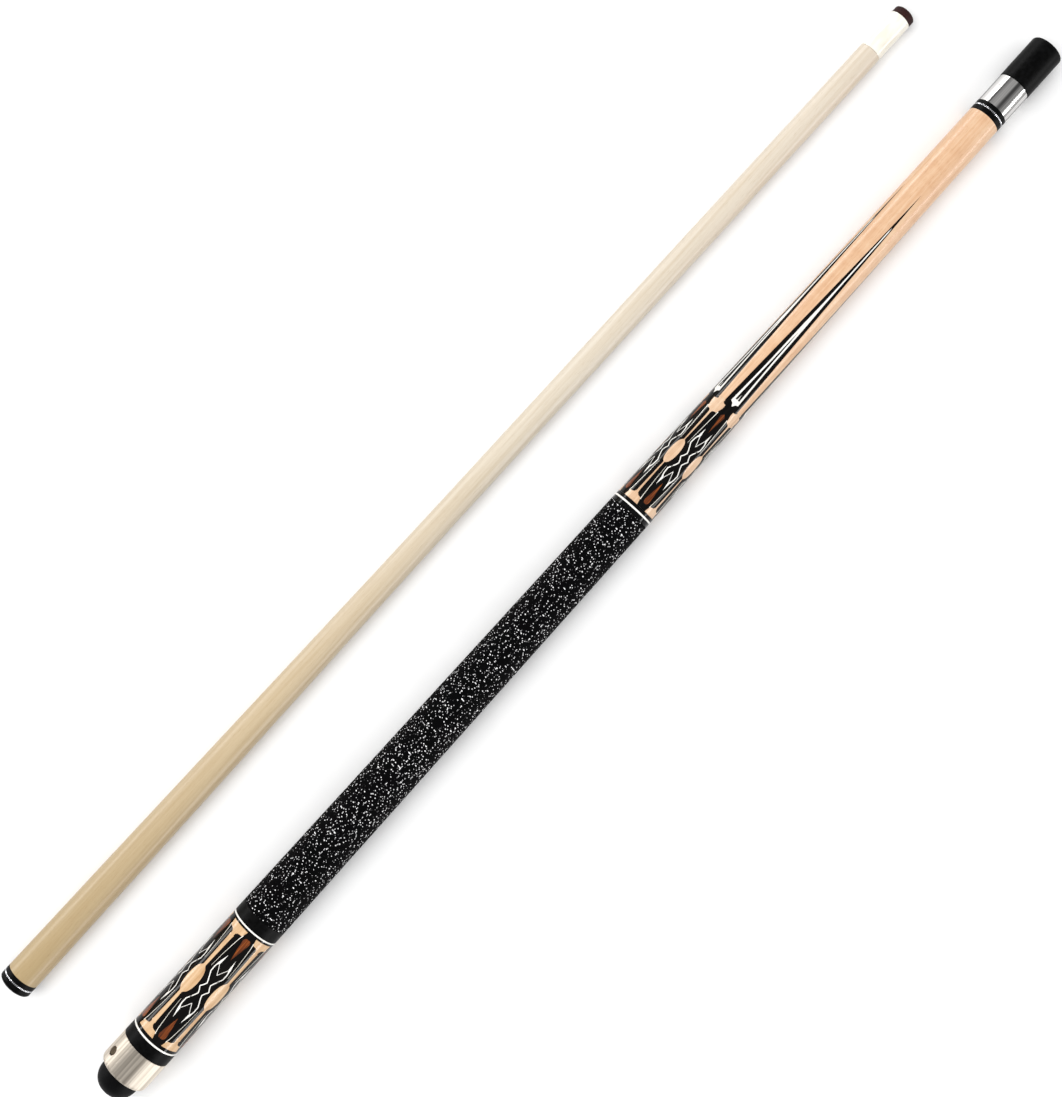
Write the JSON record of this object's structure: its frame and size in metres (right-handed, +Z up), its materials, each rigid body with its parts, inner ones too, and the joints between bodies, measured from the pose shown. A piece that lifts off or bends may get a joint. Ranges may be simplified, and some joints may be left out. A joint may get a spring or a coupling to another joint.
{
  "type": "pool cue",
  "caption": "Take-apart pool cue lying in halves: inlaid butt with linen wrap, steel joint and screw-on protector, beside a maple shaft with ferrule, leather tip and domed plug.",
  "frame": {"origin": "middle of the footprint of both halves, on the floor", "axes": "+X along the butt towards its joint, +Y from the butt towards the shaft, +Z up"},
  "size_m": [0.768, 0.101, 0.03],
  "materials": {
    "forearm_maple": "clear gloss over figured maple",
    "core_maple": "bare turned maple",
    "shaft_maple": "satin sealed straight-grained maple",
    "black_wood": "clear gloss over black-dyed wood",
    "black_resin": "polished",
    "white_resin": "polished",
    "ivory_resin": "satin",
    "silver_ring": "polished",
    "stainless_steel": "polished along its length",
    "plain_steel": "bright zinc",
    "brushed_nickel": "brushed lengthwise",
    "brass": "machined",
    "black_rubber": "matt",
    "leather_tip": "pressed, matt",
    "linen_wrap": "pressed linen thread, black with white flecks"
  },
  "bodies": {
    "butt": {"forearm": "forearm_maple", "forearm_point_1": "black_wood", "forearm_point_2": "black_wood", "forearm_point_3": "black_wood", "forearm_point_4": "black_wood", "forearm_point_5": "black_wood", "joint_collar": "stainless_steel", "joint_pin": "stainless_steel", "joint_ring_front": "black_resin", "joint_ring_silver": "silver_ring", "joint_ring_rear": "black_resin", "connecting_screw": "plain_steel", "handle_core": "core_maple", "wrap_ring_front": "black_resin", "wrap_ring_front_white": "white_resin", "wrap_ring_front_rear": "black_resin", "wrap": "linen_wrap", "wrap_ring_rear": "black_resin", "wrap_ring_rear_white": "white_resin", "butt_sleeve": "black_wood", "cap_ring_white": "white_resin", "cap_ring_black": "black_resin", "butt_cap": "brushed_nickel"},
    "protector_thread": {"protector_insert": "brass"},
    "joint_protector": {"protector_shell": "black_resin"},
    "weight_bolt_body": {"weight_bolt": "plain_steel"},
    "bumper_body": {"bumper": "black_rubber"},
    "shaft": {"shaft_wood": "shaft_maple", "shaft_collar_rear": "black_resin", "shaft_collar_silver": "silver_ring", "shaft_collar_front": "black_resin", "shaft_insert": "brass", "ferrule": "ivory_resin", "tip": "leather_tip"},
    "plug_thread": {"plug_stud": "brass"},
    "joint_plug": {"plug_head": "black_resin"}
  },
  "joints": [
    {"name": "protector_travel", "type": "slide", "parent": "butt", "child": "protector_thread", "axis": [1, 0, -0.0061], "range_m": [0, 0.02177]},
    {"name": "protector_turn", "type": "hinge", "parent": "protector_thread", "child": "joint_protector", "pos_m": [0.35598, -0.03552, 0.0106], "axis": [1, 0, -0.0061], "range_deg": [0, 4320]},
    {"name": "bumper_pull", "type": "slide", "parent": "butt", "child": "bumper_body", "axis": [-1, 0, 0.0061], "range_m": [0, 0.02]},
    {"name": "weight_bolt_travel", "type": "slide", "parent": "butt", "child": "weight_bolt_body", "axis": [-1, 0, 0.0061], "range_m": [-0.01, 0.008]},
    {"name": "shaft_lift", "type": "slide", "parent": "butt", "child": "shaft", "axis": [0, 0, 1], "range_m": [0, 0.15]},
    {"name": "plug_travel", "type": "slide", "parent": "shaft", "child": "plug_thread", "axis": [-1, 0.0072, 0.0047], "range_m": [0, 0.01814]},
    {"name": "plug_turn", "type": "hinge", "parent": "plug_thread", "child": "joint_plug", "pos_m": [-0.37602, 0.04078, 0.00975], "axis": [-1, 0.0072, 0.0047], "range_deg": [0, 3600]}
  ],
  "couplings": [
    {"joint": "protector_turn", "follows": "protector_travel", "rad_per_m": 3463.2},
    {"joint": "plug_turn", "follows": "plug_travel", "rad_per_m": 3463.2}
  ]
}
